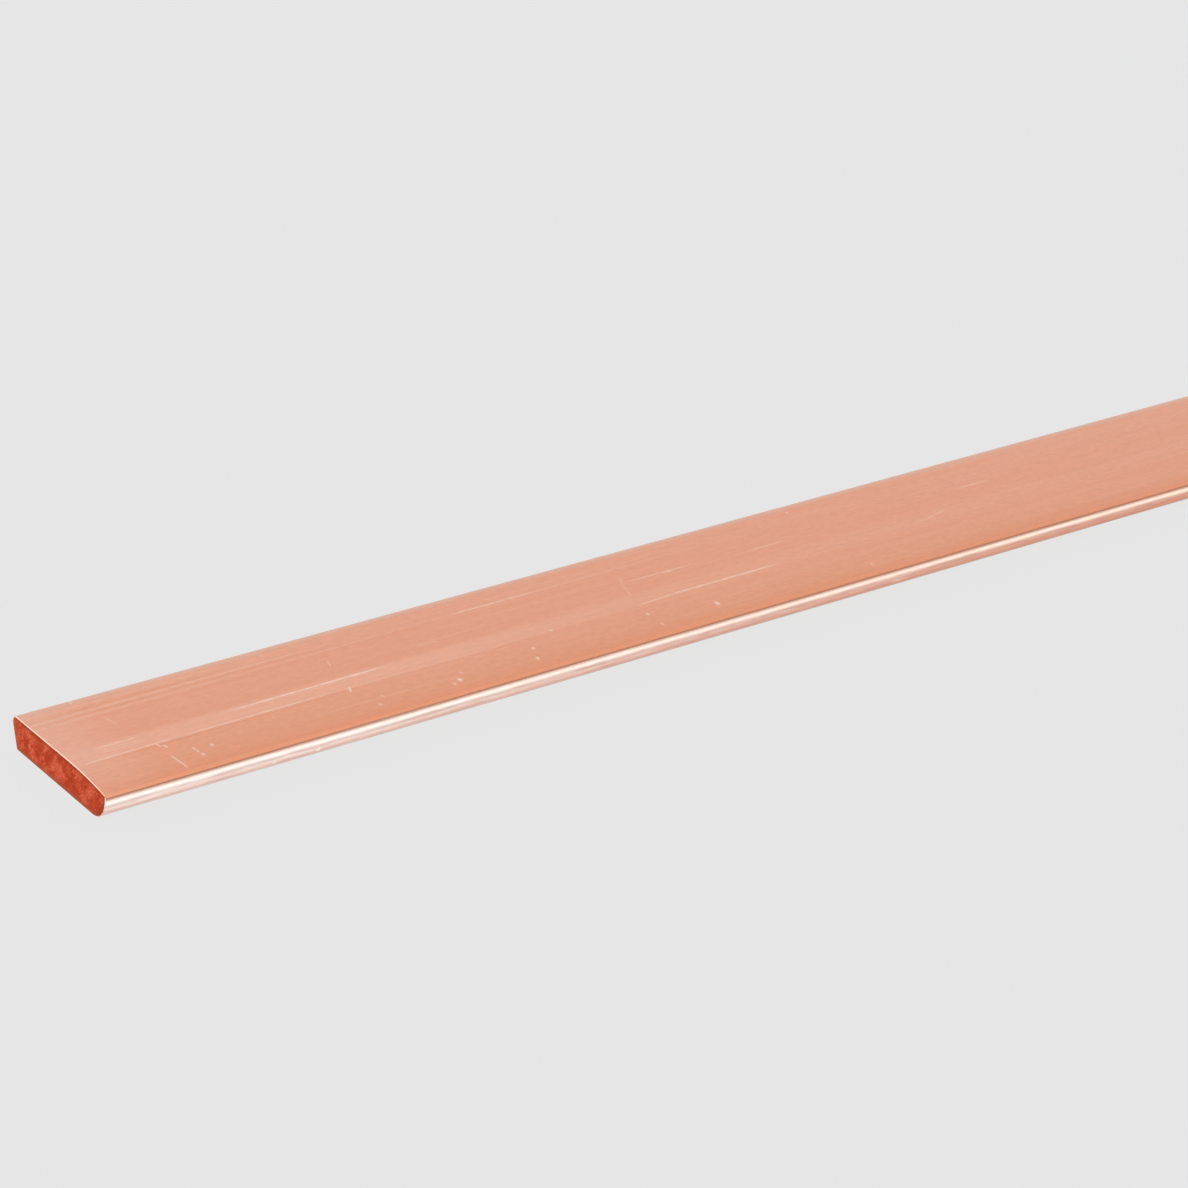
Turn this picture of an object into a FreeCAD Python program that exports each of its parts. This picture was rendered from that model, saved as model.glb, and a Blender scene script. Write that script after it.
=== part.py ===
# Copper busbar: bare flat stock, 30 x 5 mm, one metre long, drawn in one piece and sawn square at both ends.
# Millimetres. The bar lies flat: X along its length, Y across its width, Z up through its thickness.
# Origin: middle of the length and of the width, on the underside. The front is at -Y, the back at +Y.
# The back edge is rounded at the top and nearly sharp at the bottom. The front edge is a nose: a shoulder
# rolls off the top face to a tight round, and under that one large heel radius runs in to the underside.
import FreeCAD, Part
import math
import os
import Sketcher

NODE = "busbar"

# Driving sizes
SIZES = {
    "bar_length": 1000.0,
    "bar_width": 30.0,
    "bar_thickness": 5.0,
    "upper_back_radius": 1.5,
    "lower_back_radius": 0.3,
    "shoulder_width": 11.0,
    "shoulder_radius": 80.0,
    "nose_radius": 0.4,
    "heel_radius": 5.5,
    "sawn_edge_break": 0.1,
}

# The sketch's names for the places on a line or an arc, and for its own axis and origin
START, END, CENTRE = 1, 2, 3
ACROSS_AXIS = -1
ORIGIN = (ACROSS_AXIS, START)

os.makedirs("parts", exist_ok=True)
doc = FreeCAD.newDocument("copper_busbar")
sheet = doc.addObject("Spreadsheet::Sheet", "Sizes")
for row, (alias, value) in enumerate(SIZES.items(), start=1):
    sheet.set(f"A{row}", alias)
    sheet.set(f"B{row}", str(value))
    sheet.setAlias(f"B{row}", alias)
doc.recompute()


def section_point(across, up):
    """A point of the section: across the width from the middle, up from the underside."""
    return FreeCAD.Vector(across, up, 0)


def section_line(start, end):
    """A straight stretch of the section's outline."""
    return Part.LineSegment(section_point(*start), section_point(*end))


def section_arc(centre, radius, start_angle, end_angle):
    """A round stretch of the outline, counter-clockwise between two angles in degrees."""
    circle = Part.Circle(section_point(*centre), FreeCAD.Vector(0, 0, 1), radius)
    return Part.ArcOfCircle(circle, math.radians(start_angle), math.radians(end_angle))


def draw_outline(sketch):
    """Draws the section's closed outline, counter-clockwise from the underside, and names its stretches."""
    half_width = sheet.bar_width / 2
    top = sheet.bar_thickness
    upper_corner = sheet.upper_back_radius
    lower_corner = sheet.lower_back_radius
    shoulder = sheet.shoulder_radius
    nose = sheet.nose_radius
    heel = sheet.heel_radius

    upper_back = half_width - upper_corner
    lower_back = half_width - lower_corner

    # The shoulder's circle touches the top face and holds the nose's circle against its inside
    shoulder_across = sheet.shoulder_width - half_width
    nose_across = nose - half_width
    shoulder_run = shoulder_across - nose_across
    shoulder_rise = math.sqrt((shoulder - nose) ** 2 - shoulder_run**2)
    nose_up = top - shoulder + shoulder_rise
    shoulder_end = 90 + math.degrees(math.atan2(shoulder_run, shoulder_rise))

    # So does the heel's circle, which rests on the underside
    heel_drop = heel - nose_up
    heel_run = math.sqrt((heel - nose) ** 2 - heel_drop**2)
    heel_across = nose_across + heel_run
    heel_start = 180 + math.degrees(math.atan2(heel_drop, heel_run))

    outline = {
        "underside": section_line((heel_across, 0), (lower_back, 0)),
        "lower_back_corner": section_arc((lower_back, lower_corner), lower_corner, 270, 360),
        "back_edge": section_line((half_width, lower_corner), (half_width, top - upper_corner)),
        "upper_back_corner": section_arc((upper_back, top - upper_corner), upper_corner, 0, 90),
        "top_face": section_line((upper_back, top), (shoulder_across, top)),
        "shoulder": section_arc((shoulder_across, top - shoulder), shoulder, 90, shoulder_end),
        "nose": section_arc((nose_across, nose_up), nose, shoulder_end, heel_start),
        "heel": section_arc((heel_across, heel), heel, heel_start, 270),
    }
    return {name: sketch.addGeometry(shape, False) for name, shape in outline.items()}


def constrain_outline(sketch, outline):
    """Keeps each stretch running smoothly into the next, and the faces and back edge straight."""
    names = list(outline)
    for name, following in zip(names, names[1:] + names[:1]):
        sketch.addConstraint(
            Sketcher.Constraint("Tangent", outline[name], END, outline[following], START)
        )
    for kind, *places in (
        ("PointOnObject", outline["underside"], START, ACROSS_AXIS),
        ("Horizontal", outline["underside"]),
        ("Horizontal", outline["top_face"]),
        ("Vertical", outline["back_edge"]),
    ):
        sketch.addConstraint(Sketcher.Constraint(kind, *places))


def dimension_outline(sketch, outline):
    """Binds each dimension of the outline to the sheet."""
    for name, formula, kind, *places in (
        ("back_reach", "Sizes.bar_width / 2", "DistanceX", *ORIGIN, outline["back_edge"], START),
        (
            "shoulder_reach",
            "Sizes.bar_width / 2 - Sizes.shoulder_width",
            "DistanceX",
            outline["shoulder"],
            START,
            *ORIGIN,
        ),
        (
            "nose_reach",
            "Sizes.bar_width / 2 - Sizes.nose_radius",
            "DistanceX",
            outline["nose"],
            CENTRE,
            *ORIGIN,
        ),
        (
            "thickness",
            "Sizes.bar_thickness",
            "DistanceY",
            outline["underside"],
            END,
            outline["top_face"],
            START,
        ),
        ("upper_corner", "Sizes.upper_back_radius", "Radius", outline["upper_back_corner"]),
        ("lower_corner", "Sizes.lower_back_radius", "Radius", outline["lower_back_corner"]),
        ("shoulder", "Sizes.shoulder_radius", "Radius", outline["shoulder"]),
        ("nose", "Sizes.nose_radius", "Radius", outline["nose"]),
        ("heel", "Sizes.heel_radius", "Radius", outline["heel"]),
    ):
        size = sketch.evalExpression(formula)
        number = sketch.addConstraint(Sketcher.Constraint(kind, *places, size))
        sketch.renameConstraint(number, name)
        sketch.setExpression(f"Constraints.{name}", formula)


def end_faces(shape):
    """Names of the faces that lie square to the bar's length."""
    flat = Part.Precision.confusion()
    faces = enumerate(shape.Faces, start=1)
    return [f"Face{number}" for number, face in faces if face.BoundBox.XLength < flat]


# The bar: its section drawn out along the length, as far each way from the middle
bar = doc.addObject("PartDesign::Body", NODE)
bar.Label = NODE
section = bar.newObject("Sketcher::SketchObject", "Section")
cross_plane = next(item for item in bar.Origin.OriginFeatures if item.Role == "YZ_Plane")
section.AttachmentSupport = [(cross_plane, "")]
section.MapMode = "FlatFace"
doc.recompute()
section_outline = draw_outline(section)
constrain_outline(section, section_outline)
dimension_outline(section, section_outline)

drawn_bar = bar.newObject("PartDesign::Pad", "DrawnLength")
drawn_bar.Profile = section
drawn_bar.SideType = "Symmetric"
drawn_bar.setExpression("Length", "Sizes.bar_length")
doc.recompute()

# The sharp edge that the saw leaves is broken all round both ends
broken_edges = bar.newObject("PartDesign::Chamfer", "SawnEdges")
broken_edges.Base = (drawn_bar, end_faces(drawn_bar.Shape))
broken_edges.setExpression("Size", "Sizes.sawn_edge_break")
bar.Tip = broken_edges
doc.recompute()

# Nothing is written unless every feature has worked
for feature in doc.Objects:
    if {"Invalid", "Error"} & set(feature.State):
        raise RuntimeError(f"{feature.Label} failed: {feature.State}")
if section.DoF or section.RedundantConstraints or section.ConflictingConstraints:
    raise RuntimeError("The section isn't fully dimensioned")
if bar.Shape.isNull() or not bar.Shape.isValid() or len(bar.Shape.Solids) != 1:
    raise RuntimeError("The bar isn't one valid solid")
if bar.Shape.Volume >= drawn_bar.Shape.Volume:
    raise RuntimeError("The sawn edges weren't broken")

bar.Shape.exportStep(f"parts/{NODE}.step")
box = bar.Shape.BoundBox
print(f"{NODE}: {box.XLength:.3f} x {box.YLength:.3f} x {box.ZLength:.3f} mm, {bar.Shape.Volume:.1f} mm3")
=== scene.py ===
"""Looks of the copper busbar: one drawn bar of bare copper, sawn square at both ends.

X runs along the bar, Y across it and Z up, as in the frame. Sizes and places are in millimetres and become
metres where a mesh, a light or the camera is made. Marks are placed in the bar's own millimetres, which
count from the near end, the front edge and the underside.
"""

import logging
import math
from collections.abc import Callable, Iterable, Sequence
from dataclasses import dataclass, field, replace
from enum import Enum

import bmesh
import bpy
from mathutils import Matrix, Vector


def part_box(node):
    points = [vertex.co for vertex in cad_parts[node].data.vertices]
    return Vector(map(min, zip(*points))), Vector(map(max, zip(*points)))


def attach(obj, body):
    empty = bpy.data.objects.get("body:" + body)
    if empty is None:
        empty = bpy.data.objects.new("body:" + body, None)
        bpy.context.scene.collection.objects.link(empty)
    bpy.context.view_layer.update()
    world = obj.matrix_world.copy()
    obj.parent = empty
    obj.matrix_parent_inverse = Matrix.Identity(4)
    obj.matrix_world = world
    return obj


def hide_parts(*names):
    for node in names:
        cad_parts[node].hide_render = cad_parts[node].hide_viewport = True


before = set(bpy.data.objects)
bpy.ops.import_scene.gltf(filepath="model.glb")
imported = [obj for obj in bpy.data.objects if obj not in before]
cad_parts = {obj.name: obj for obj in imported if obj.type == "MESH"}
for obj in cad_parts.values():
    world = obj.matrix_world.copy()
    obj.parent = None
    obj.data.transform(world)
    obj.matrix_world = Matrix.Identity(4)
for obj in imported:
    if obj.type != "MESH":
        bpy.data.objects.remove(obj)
log = logging.getLogger("busbar")

NODE = "busbar"
BODY = "root"
MM = 0.001
Colour = tuple[float, float, float]
Place = tuple[float, float, float]
Socket = bpy.types.NodeSocket


class Element(Enum):
    """What an edit-mode selection is made of."""

    EDGES = "EDGE"
    FACES = "FACE"


class BarEnd(Enum):
    """A sawn end of the bar, by the direction it faces along X."""

    NEAR = -1
    FAR = 1


# Modelling


def deselect_everything() -> None:
    """Leaves no object selected, the frame's own nodes included."""
    if bpy.context.object and bpy.context.object.mode != "OBJECT":
        bpy.ops.object.mode_set(mode="OBJECT")
    bpy.ops.object.select_all(action="DESELECT")


def choose(obj: bpy.types.Object, kind: Element, fits: Callable[[Vector], bool]) -> None:
    """Selects the edges or faces of an object in edit mode that lie wholly where they should.

    Args:
        obj: the object in edit mode.
        kind: whether edges or faces are chosen.
        fits: says of a vertex, in millimetres, whether it lies in the wanted place.
    """
    bpy.ops.mesh.select_mode(type=kind.value)
    bpy.ops.mesh.select_all(action="DESELECT")
    mesh = bmesh.from_edit_mesh(obj.data)
    inside = {vertex for vertex in mesh.verts if fits(vertex.co / MM)}
    for element in mesh.edges if kind is Element.EDGES else mesh.faces:
        if inside.issuperset(element.verts):
            element.select_set(True)
    mesh.select_flush_mode()
    bmesh.update_edit_mesh(obj.data)


def near(value: float, wanted: float, slack: float = 0.01) -> bool:
    """Whether two lengths in millimetres are the same."""
    return abs(value - wanted) < slack


@dataclass(frozen=True)
class Arc:
    """A round stretch of the section.

    across, up: its centre, in millimetres.
    sweep: degrees it turns through, from the top face towards the underside by way of the front.
    steps: how many flat strips it is made of.
    """

    across: float
    up: float
    sweep: float
    steps: int


@dataclass(frozen=True)
class BarSection:
    """The bar's cross-section, in millimetres.

    The back edge is rounded at the top and nearly sharp at the bottom. At the front a shoulder rolls off
    the top face to a tight nose, and the heel runs from the nose in to the underside.
    """

    width: float
    thickness: float
    upper_back_radius: float = 1.5
    lower_back_radius: float = 0.3
    shoulder_width: float = 11.0
    shoulder_radius: float = 80.0
    nose_radius: float = 0.4
    heel_radius: float = 5.5
    corner_steps: int = 10
    shoulder_steps: int = 14
    nose_steps: int = 12
    heel_steps: int = 26

    @property
    def back(self) -> float:
        """Where the back edge stands, across the bar."""
        return self.width / 2

    @property
    def shoulder_across(self) -> float:
        """Where the flat of the top face ends at the front."""
        return self.shoulder_width - self.back

    @property
    def nose_across(self) -> float:
        """Where the nose's centre is, across the bar."""
        return self.nose_radius - self.back

    @property
    def shoulder_rise(self) -> float:
        """How far the nose's centre lies above the shoulder's."""
        gap = self.shoulder_radius - self.nose_radius
        return math.sqrt(gap**2 - (self.shoulder_across - self.nose_across) ** 2)

    @property
    def nose_up(self) -> float:
        """How high the nose's centre is above the underside."""
        return self.thickness - self.shoulder_radius + self.shoulder_rise

    @property
    def heel_run(self) -> float:
        """How far the heel's centre lies behind the nose's."""
        gap = self.heel_radius - self.nose_radius
        return math.sqrt(gap**2 - (self.heel_radius - self.nose_up) ** 2)

    @property
    def heel_across(self) -> float:
        """Where the flat of the underside begins at the front."""
        return self.nose_across + self.heel_run

    def front_arcs(self) -> tuple[Arc, Arc, Arc]:
        """The arcs of the front edge in the order it is rolled.

        Returns:
            The shoulder, the nose and the heel.
        """
        shoulder_run = self.shoulder_across - self.nose_across
        shoulder_lean = math.degrees(math.atan2(shoulder_run, self.shoulder_rise))
        heel_lean = math.degrees(math.atan2(self.heel_radius - self.nose_up, self.heel_run))
        shoulder_up = self.thickness - self.shoulder_radius
        return (
            Arc(self.shoulder_across, shoulder_up, shoulder_lean, self.shoulder_steps),
            Arc(self.nose_across, self.nose_up, 90 - shoulder_lean + heel_lean, self.nose_steps),
            Arc(self.heel_across, self.heel_radius, 90 - heel_lean, self.heel_steps),
        )


# Wiring of materials


class Wiring:
    """Adds nodes to one shader tree and joins them, so that a finish reads as a recipe."""

    def __init__(self, tree: bpy.types.NodeTree) -> None:
        """Works on one tree."""
        self.tree = tree

    def node(
        self, kind: str, inputs: dict[str | int, object] | None = None, **settings: object
    ) -> bpy.types.Node:
        """Adds a node.

        Args:
            kind: the node's type.
            inputs: what its inputs get, by their names or numbers.
            settings: its own options.

        Returns:
            The node.
        """
        added = self.tree.nodes.new(kind)
        for name, value in settings.items():
            setattr(added, name, value)
        for label, value in (inputs or {}).items():
            self.feed(added.inputs[label], value)
        return added

    def feed(self, socket: Socket, value: object) -> None:
        """Joins another node's output to a socket, or sets the socket to a plain value.

        Args:
            socket: the input that is fed.
            value: an output, or a number, a place or a colour.
        """
        if isinstance(value, Socket):
            self.tree.links.new(value, socket)
        elif isinstance(value, tuple) and socket.type == "RGBA":
            socket.default_value = (*value, 1.0)
        else:
            socket.default_value = value

    def maths(self, operation: str, *values: object, clamp: bool = False) -> Socket:
        """One sum on plain numbers, kept between 0 and 1 where clamp says so."""
        settings = {"operation": operation, "use_clamp": clamp}
        return self.node("ShaderNodeMath", dict(enumerate(values)), **settings).outputs[0]

    def times(self, first: object, second: object) -> Socket:
        """The product of two numbers."""
        return self.maths("MULTIPLY", first, second)

    def less(self, first: object, second: object, clamp: bool = False) -> Socket:
        """The first number less the second, kept between 0 and 1 where clamp says so."""
        return self.maths("SUBTRACT", first, second, clamp=clamp)

    def stack(self, start: object, *layers: tuple[object, object], clamp: bool = False) -> Socket:
        """Adds masks up, each with its own weight.

        Args:
            start: the number before any mask.
            layers: each mask and its weight.
            clamp: whether the result is kept between 0 and 1.

        Returns:
            The sum.
        """
        total = start
        for number, (mask, weight) in enumerate(layers, start=1):
            last = number == len(layers)
            total = self.maths("MULTIPLY_ADD", mask, weight, total, clamp=clamp and last)
        return total

    def vector(self, operation: str, *values: object) -> bpy.types.Node:
        """One sum on places or directions."""
        return self.node("ShaderNodeVectorMath", dict(enumerate(values)), operation=operation)

    def parts(self, place: Socket) -> tuple[Socket, ...]:
        """The three numbers that a place or a direction is made of."""
        return tuple(self.node("ShaderNodeSeparateXYZ", {0: place}).outputs)

    def spread(
        self, value: object, low: object, high: object, to_low: object = 0.0, to_high: object = 1.0
    ) -> Socket:
        """Turns one range of numbers smoothly into another and holds the ends.

        Args:
            value: the number to turn.
            low: where the range begins.
            high: where it ends.
            to_low: what low becomes.
            to_high: what high becomes.

        Returns:
            The number turned.
        """
        ends = dict(enumerate((value, low, high, to_low, to_high)))
        return self.node("ShaderNodeMapRange", ends, interpolation_type="SMOOTHSTEP").outputs[0]

    def mix(self, share: object, first: object, second: object) -> Socket:
        """Blends two colours.

        Args:
            share: how much of the second colour shows.
            first: a colour or output.
            second: a colour or output.

        Returns:
            The blend.
        """
        added = self.node("ShaderNodeMix", {"Factor": share}, data_type="RGBA")
        colours = [socket for socket in added.inputs if socket.type == "RGBA"]
        for socket, colour in zip(colours, (first, second)):
            self.feed(socket, colour)
        return next(socket for socket in added.outputs if socket.type == "RGBA")

    def greatest(self, values: Iterable[object]) -> object:
        """The strongest of several masks at each place, each joined to those before it as it comes.

        Args:
            values: the masks.

        Returns:
            The strongest.
        """
        strongest: object = 0.0
        for value in values:
            strongest = self.maths("MAXIMUM", strongest, value)
        return strongest


class Surface:
    """A new material and the wiring of its shader."""

    def __init__(self, name: str) -> None:
        """Makes the material.

        Args:
            name: the finish's name.
        """
        self.material = bpy.data.materials.new(name)
        self.material.use_nodes = True
        self.wiring = Wiring(self.material.node_tree)
        self.shader = self.material.node_tree.nodes["Principled BSDF"]

    def feed_shader(self, inputs: dict[str, object]) -> None:
        """Feeds the shader's own inputs, by name."""
        for label, value in inputs.items():
            self.wiring.feed(self.shader.inputs[label], value)

    def bump(self, height: Socket, depth: float, strength: float) -> Socket:
        """Turns a height, of which 1 stands for that depth in millimetres, into a normal."""
        inputs = {"Height": height, "Distance": depth * MM, "Strength": strength}
        return self.wiring.node("ShaderNodeBump", inputs).outputs[0]


class Group:
    """A shader node group with named inputs and one named output."""

    def __init__(self, name: str, inputs: dict[str, str], output: str) -> None:
        """Makes the empty group.

        Args:
            name: the effect's name.
            inputs: input names and the kind of socket each has.
            output: the name of the mask it puts out.
        """
        self.tree = bpy.data.node_groups.new(name, "ShaderNodeTree")
        for direction, sockets in (("INPUT", inputs), ("OUTPUT", {output: "Float"})):
            for label, kind in sockets.items():
                self.tree.interface.new_socket(
                    name=label, in_out=direction, socket_type=f"NodeSocket{kind}"
                )
        self.wiring = Wiring(self.tree)
        self.given = self.wiring.node("NodeGroupInput").outputs
        self.result = self.wiring.node("NodeGroupOutput").inputs[output]

    def used_in(self, wiring: Wiring, **values: object) -> Socket:
        """Places the group in another tree, with these values for its inputs."""
        return wiring.node("ShaderNodeGroup", values, node_tree=self.tree).outputs[0]


class StreakGroup(Group):
    """Fine lines that run along the bar, as a die leaves them."""

    def __init__(self) -> None:
        """Builds the group: noise drawn out along one direction."""
        super().__init__(
            "drawn_streaks",
            {"Place": "Vector", "Pitch": "Vector", "Detail": "Float", "Low": "Float", "High": "Float"},
            "Streaks",
        )
        wiring, given = self.wiring, self.given
        drawn_out = wiring.vector("DIVIDE", given["Place"], given["Pitch"]).outputs["Vector"]
        noise = wiring.node(
            "ShaderNodeTexNoise",
            {"Vector": drawn_out, "Scale": 1.0, "Detail": given["Detail"]},
            noise_dimensions="3D",
            normalize=True,
        )
        wiring.feed(self.result, wiring.spread(noise.outputs[0], given["Low"], given["High"]))


class ScratchGroup(Group):
    """One straight scratch with soft sides and tapered tips."""

    def __init__(self, taper_from: float = 0.25) -> None:
        """Builds the group: how far a place lies from the line, and how far along it.

        Args:
            taper_from: where it begins to fade, from its middle, as a share of its length.
        """
        numbers = ("Along", "Across", "Start", "Run", "Level", "Rise", "Width", "Strength")
        super().__init__("scratch", {label: "Float" for label in numbers}, "Mask")
        wiring, given = self.wiring, self.given
        share = wiring.maths("DIVIDE", wiring.less(given["Along"], given["Start"]), given["Run"])
        line = wiring.stack(given["Level"], (share, given["Rise"]))
        distance = wiring.maths("ABSOLUTE", wiring.less(given["Across"], line))
        side = wiring.less(1.0, wiring.maths("DIVIDE", distance, given["Width"]), clamp=True)
        from_middle = wiring.maths("ABSOLUTE", wiring.less(share, 0.5))
        taper = wiring.spread(from_middle, taper_from, 0.5, given["Strength"], 0.0)
        wiring.feed(self.result, wiring.times(side, taper))


class NickGroup(Group):
    """One small dent with a soft rim."""

    def __init__(self) -> None:
        """Builds the group: how far a place lies from the dent's middle, as a share of its reach."""
        super().__init__(
            "nick",
            {"Place": "Vector", "Middle": "Vector", "Reach": "Vector", "Strength": "Float"},
            "Mask",
        )
        wiring, given = self.wiring, self.given
        apart = wiring.vector("SUBTRACT", given["Place"], given["Middle"]).outputs["Vector"]
        shares = wiring.vector("DIVIDE", apart, given["Reach"]).outputs["Vector"]
        inside = wiring.less(1.0, wiring.vector("LENGTH", shares).outputs["Value"], clamp=True)
        wiring.feed(self.result, wiring.times(inside, given["Strength"]))


class SpeckGroup(Group):
    """Small dents and specks of dirt, thinly scattered."""

    def __init__(self, faintest: float = 0.4) -> None:
        """Builds the group: the middles of a few random cells.

        Args:
            faintest: how strong the faintest speck is, where the strongest is 1.
        """
        super().__init__(
            "scattered_specks",
            {"Place": "Vector", "Spacing": "Float", "Size": "Float", "Share": "Float"},
            "Mask",
        )
        wiring, given = self.wiring, self.given
        spaced = wiring.vector("DIVIDE", given["Place"], given["Spacing"]).outputs["Vector"]
        cells = wiring.node(
            "ShaderNodeTexVoronoi",
            {"Vector": spaced, "Scale": 1.0},
            voronoi_dimensions="3D",
            feature="F1",
        )
        reach = wiring.times(cells.outputs["Distance"], given["Spacing"])
        dots = wiring.less(1.0, wiring.maths("DIVIDE", reach, given["Size"]), clamp=True)
        chance, depth, _ = wiring.node("ShaderNodeSeparateColor", {0: cells.outputs["Color"]}).outputs
        kept = wiring.maths("LESS_THAN", chance, given["Share"])
        weight = wiring.stack(faintest, (depth, 1.0 - faintest))
        wiring.feed(self.result, wiring.times(wiring.times(dots, kept), weight))


@dataclass
class Effects:
    """The effects that the finishes share."""

    streaks: StreakGroup = field(default_factory=StreakGroup)
    scratch: ScratchGroup = field(default_factory=ScratchGroup)
    nick: NickGroup = field(default_factory=NickGroup)
    specks: SpeckGroup = field(default_factory=SpeckGroup)


class BarSurface(Surface):
    """A finish of the bar, with the places on the bar that its patterns go by."""

    def __init__(self, name: str, effects: Effects, near_end: float, front: float) -> None:
        """Makes the material and finds each place on the bar in the bar's own millimetres.

        Args:
            name: the finish's name.
            effects: the shared effects.
            near_end: the near end's place along X, in millimetres.
            front: the front edge's place across, in millimetres.
        """
        super().__init__(name)
        self.effects = effects
        places = self.wiring.node("ShaderNodeTexCoord").outputs["Object"]
        moved = self.wiring.vector("MULTIPLY_ADD", places, (1 / MM,) * 3, (-near_end, -front, 0.0))
        self.place = moved.outputs["Vector"]
        self.along, self.across, self.up = self.wiring.parts(self.place)


# Patterns and marks


@dataclass(frozen=True)
class Fade:
    """A smooth change of strength.

    start, end: where it begins and ends, mostly in millimetres on the bar.
    before, after: how strong it is on each side.
    """

    start: float
    end: float
    before: float = 0.0
    after: float = 1.0

    def at(self, wiring: Wiring, value: object) -> Socket:
        """How strong it is at that value."""
        return wiring.spread(value, self.start, self.end, self.before, self.after)


@dataclass(frozen=True)
class Streaks:
    """A pattern of streaks, patches or grain.

    pitch: how far one streak reaches along, across and up, in millimetres.
    detail: how much finer noise it holds.
    low, high: the noise at which it begins to show and is full.
    """

    pitch: Place
    detail: float
    low: float
    high: float

    def mask(self, surface: BarSurface, place: Socket | None = None) -> Socket:
        """Places the pattern in a finish.

        Args:
            surface: the finish.
            place: the space it lies in, if that isn't the bar's own.

        Returns:
            Where the pattern shows.
        """
        return surface.effects.streaks.used_in(
            surface.wiring,
            Place=surface.place if place is None else place,
            Pitch=self.pitch,
            Detail=self.detail,
            Low=self.low,
            High=self.high,
        )


@dataclass(frozen=True)
class Scratch:
    """A scratch in the top face.

    start, end: millimetres along the bar and in from its front edge.
    width: how far it reaches to each side of its line.
    strength: how bright it is at its middle.
    """

    start: tuple[float, float]
    end: tuple[float, float]
    width: float
    strength: float

    def mask(self, surface: BarSurface) -> Socket:
        """Places the scratch in a finish.

        Args:
            surface: the finish.

        Returns:
            Where the scratch shows.
        """
        along, across = surface.along, surface.across
        run, rise = self.end[0] - self.start[0], self.end[1] - self.start[1]
        start, level = self.start
        if abs(rise) > abs(run):
            along, across, run, rise, start, level = across, along, rise, run, level, start
        return surface.effects.scratch.used_in(
            surface.wiring,
            Along=along,
            Across=across,
            Start=start,
            Run=run,
            Level=level,
            Rise=rise,
            Width=self.width,
            Strength=self.strength,
        )


@dataclass(frozen=True)
class Nick:
    """A small soft-edged mark: a dent that catches the light, or a patch of another shade.

    middle: millimetres from the near end, from the front edge and from the underside.
    reach: how far it spreads from its middle each way.
    strength: how plain it is at its middle.
    """

    middle: Place
    reach: Place = (0.3, 0.55, 0.6)
    strength: float = 1.0

    def turned(self, angle: float) -> "Nick":
        """The mark as it lies in a space turned by that many degrees about the bar's length."""
        middle = Matrix.Rotation(math.radians(angle), 3, "X") @ Vector(self.middle)
        return replace(self, middle=tuple(middle))

    def mask(self, surface: BarSurface, place: Socket | None = None) -> Socket:
        """Places the mark in a finish.

        Args:
            surface: the finish.
            place: the space it lies in, if that isn't the bar's own.

        Returns:
            Where the mark shows.
        """
        return surface.effects.nick.used_in(
            surface.wiring,
            Place=surface.place if place is None else place,
            Middle=self.middle,
            Reach=self.reach,
            Strength=self.strength,
        )


LONG_LINES = (
    Scratch((19.5, 12.35), (46.5, 12.7), 0.34, 1.0),
    Scratch((3.2, 12.3), (10.3, 12.3), 0.3, 0.6),
    Scratch((3.4, 11.6), (10.5, 11.2), 0.25, 0.3),
    Scratch((3.6, 10.8), (10.5, 10.5), 0.25, 0.3),
    Scratch((-1.0, 8.75), (16.0, 9.15), 0.3, 0.6),
    Scratch((11.0, 9.05), (37.0, 9.3), 0.3, 0.6),
    Scratch((28.0, 9.2), (64.0, 9.1), 0.28, 0.16),
    Scratch((-14.0, 24.1), (44.0, 24.6), 0.4, 0.24),
    Scratch((-10.0, 22.3), (66.0, 22.95), 0.36, 0.18),
    Scratch((57.5, 23.05), (73.5, 23.1), 0.34, 0.6),
    Scratch((62.0, 23.1), (94.0, 23.2), 0.3, 0.22),
    Scratch((-8.0, 26.6), (30.0, 26.7), 0.4, 0.15),
    Scratch((79.0, 9.4), (87.0, 10.0), 0.3, 0.5),
    Scratch((82.5, 9.95), (104.0, 10.15), 0.36, 0.8),
    Scratch((82.0, 17.95), (95.0, 17.65), 0.34, 0.4),
    Scratch((87.5, 17.75), (93.0, 17.7), 0.34, 0.5),
    Scratch((101.0, 16.9), (108.5, 17.15), 0.34, 0.45),
    Scratch((138.5, 18.45), (144.5, 18.3), 0.34, 0.5),
    Scratch((126.0, 10.6), (133.0, 12.6), 0.4, 0.3),
    Scratch((49.8, 16.1), (53.5, 15.9), 0.34, 0.4),
)
CROSS_SCRATCHES = (
    Scratch((10.6, 5.4), (11.3, 0.1), 0.17, 0.8),
    Scratch((13.7, 5.5), (13.95, 3.5), 0.2, 1.0),
    Scratch((10.5, 9.3), (10.7, 7.7), 0.18, 1.0),
    Scratch((11.05, 8.1), (11.3, 7.0), 0.2, 1.0),
    Scratch((8.7, 21.6), (9.1, 17.2), 0.2, 0.35),
    Scratch((39.0, 19.5), (38.3, 17.0), 0.2, 0.45),
    Scratch((37.1, 9.6), (36.6, 7.9), 0.22, 0.9),
    Scratch((83.5, 20.6), (82.0, 17.0), 0.25, 0.35),
    Scratch((82.2, 17.6), (80.8, 12.8), 0.25, 0.3),
    Scratch((25.4, 7.8), (25.5, 6.2), 0.2, 0.25),
)
DARK_LINES = (
    Scratch((-12.0, 25.2), (34.0, 25.4), 0.45, 0.5),
    Scratch((-14.0, 23.3), (48.0, 23.8), 0.4, 0.5),
    Scratch((-1.0, 8.15), (40.0, 8.65), 0.3, 0.6),
    Scratch((42.0, 22.4), (66.0, 22.5), 0.3, 0.3),
)
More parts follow.
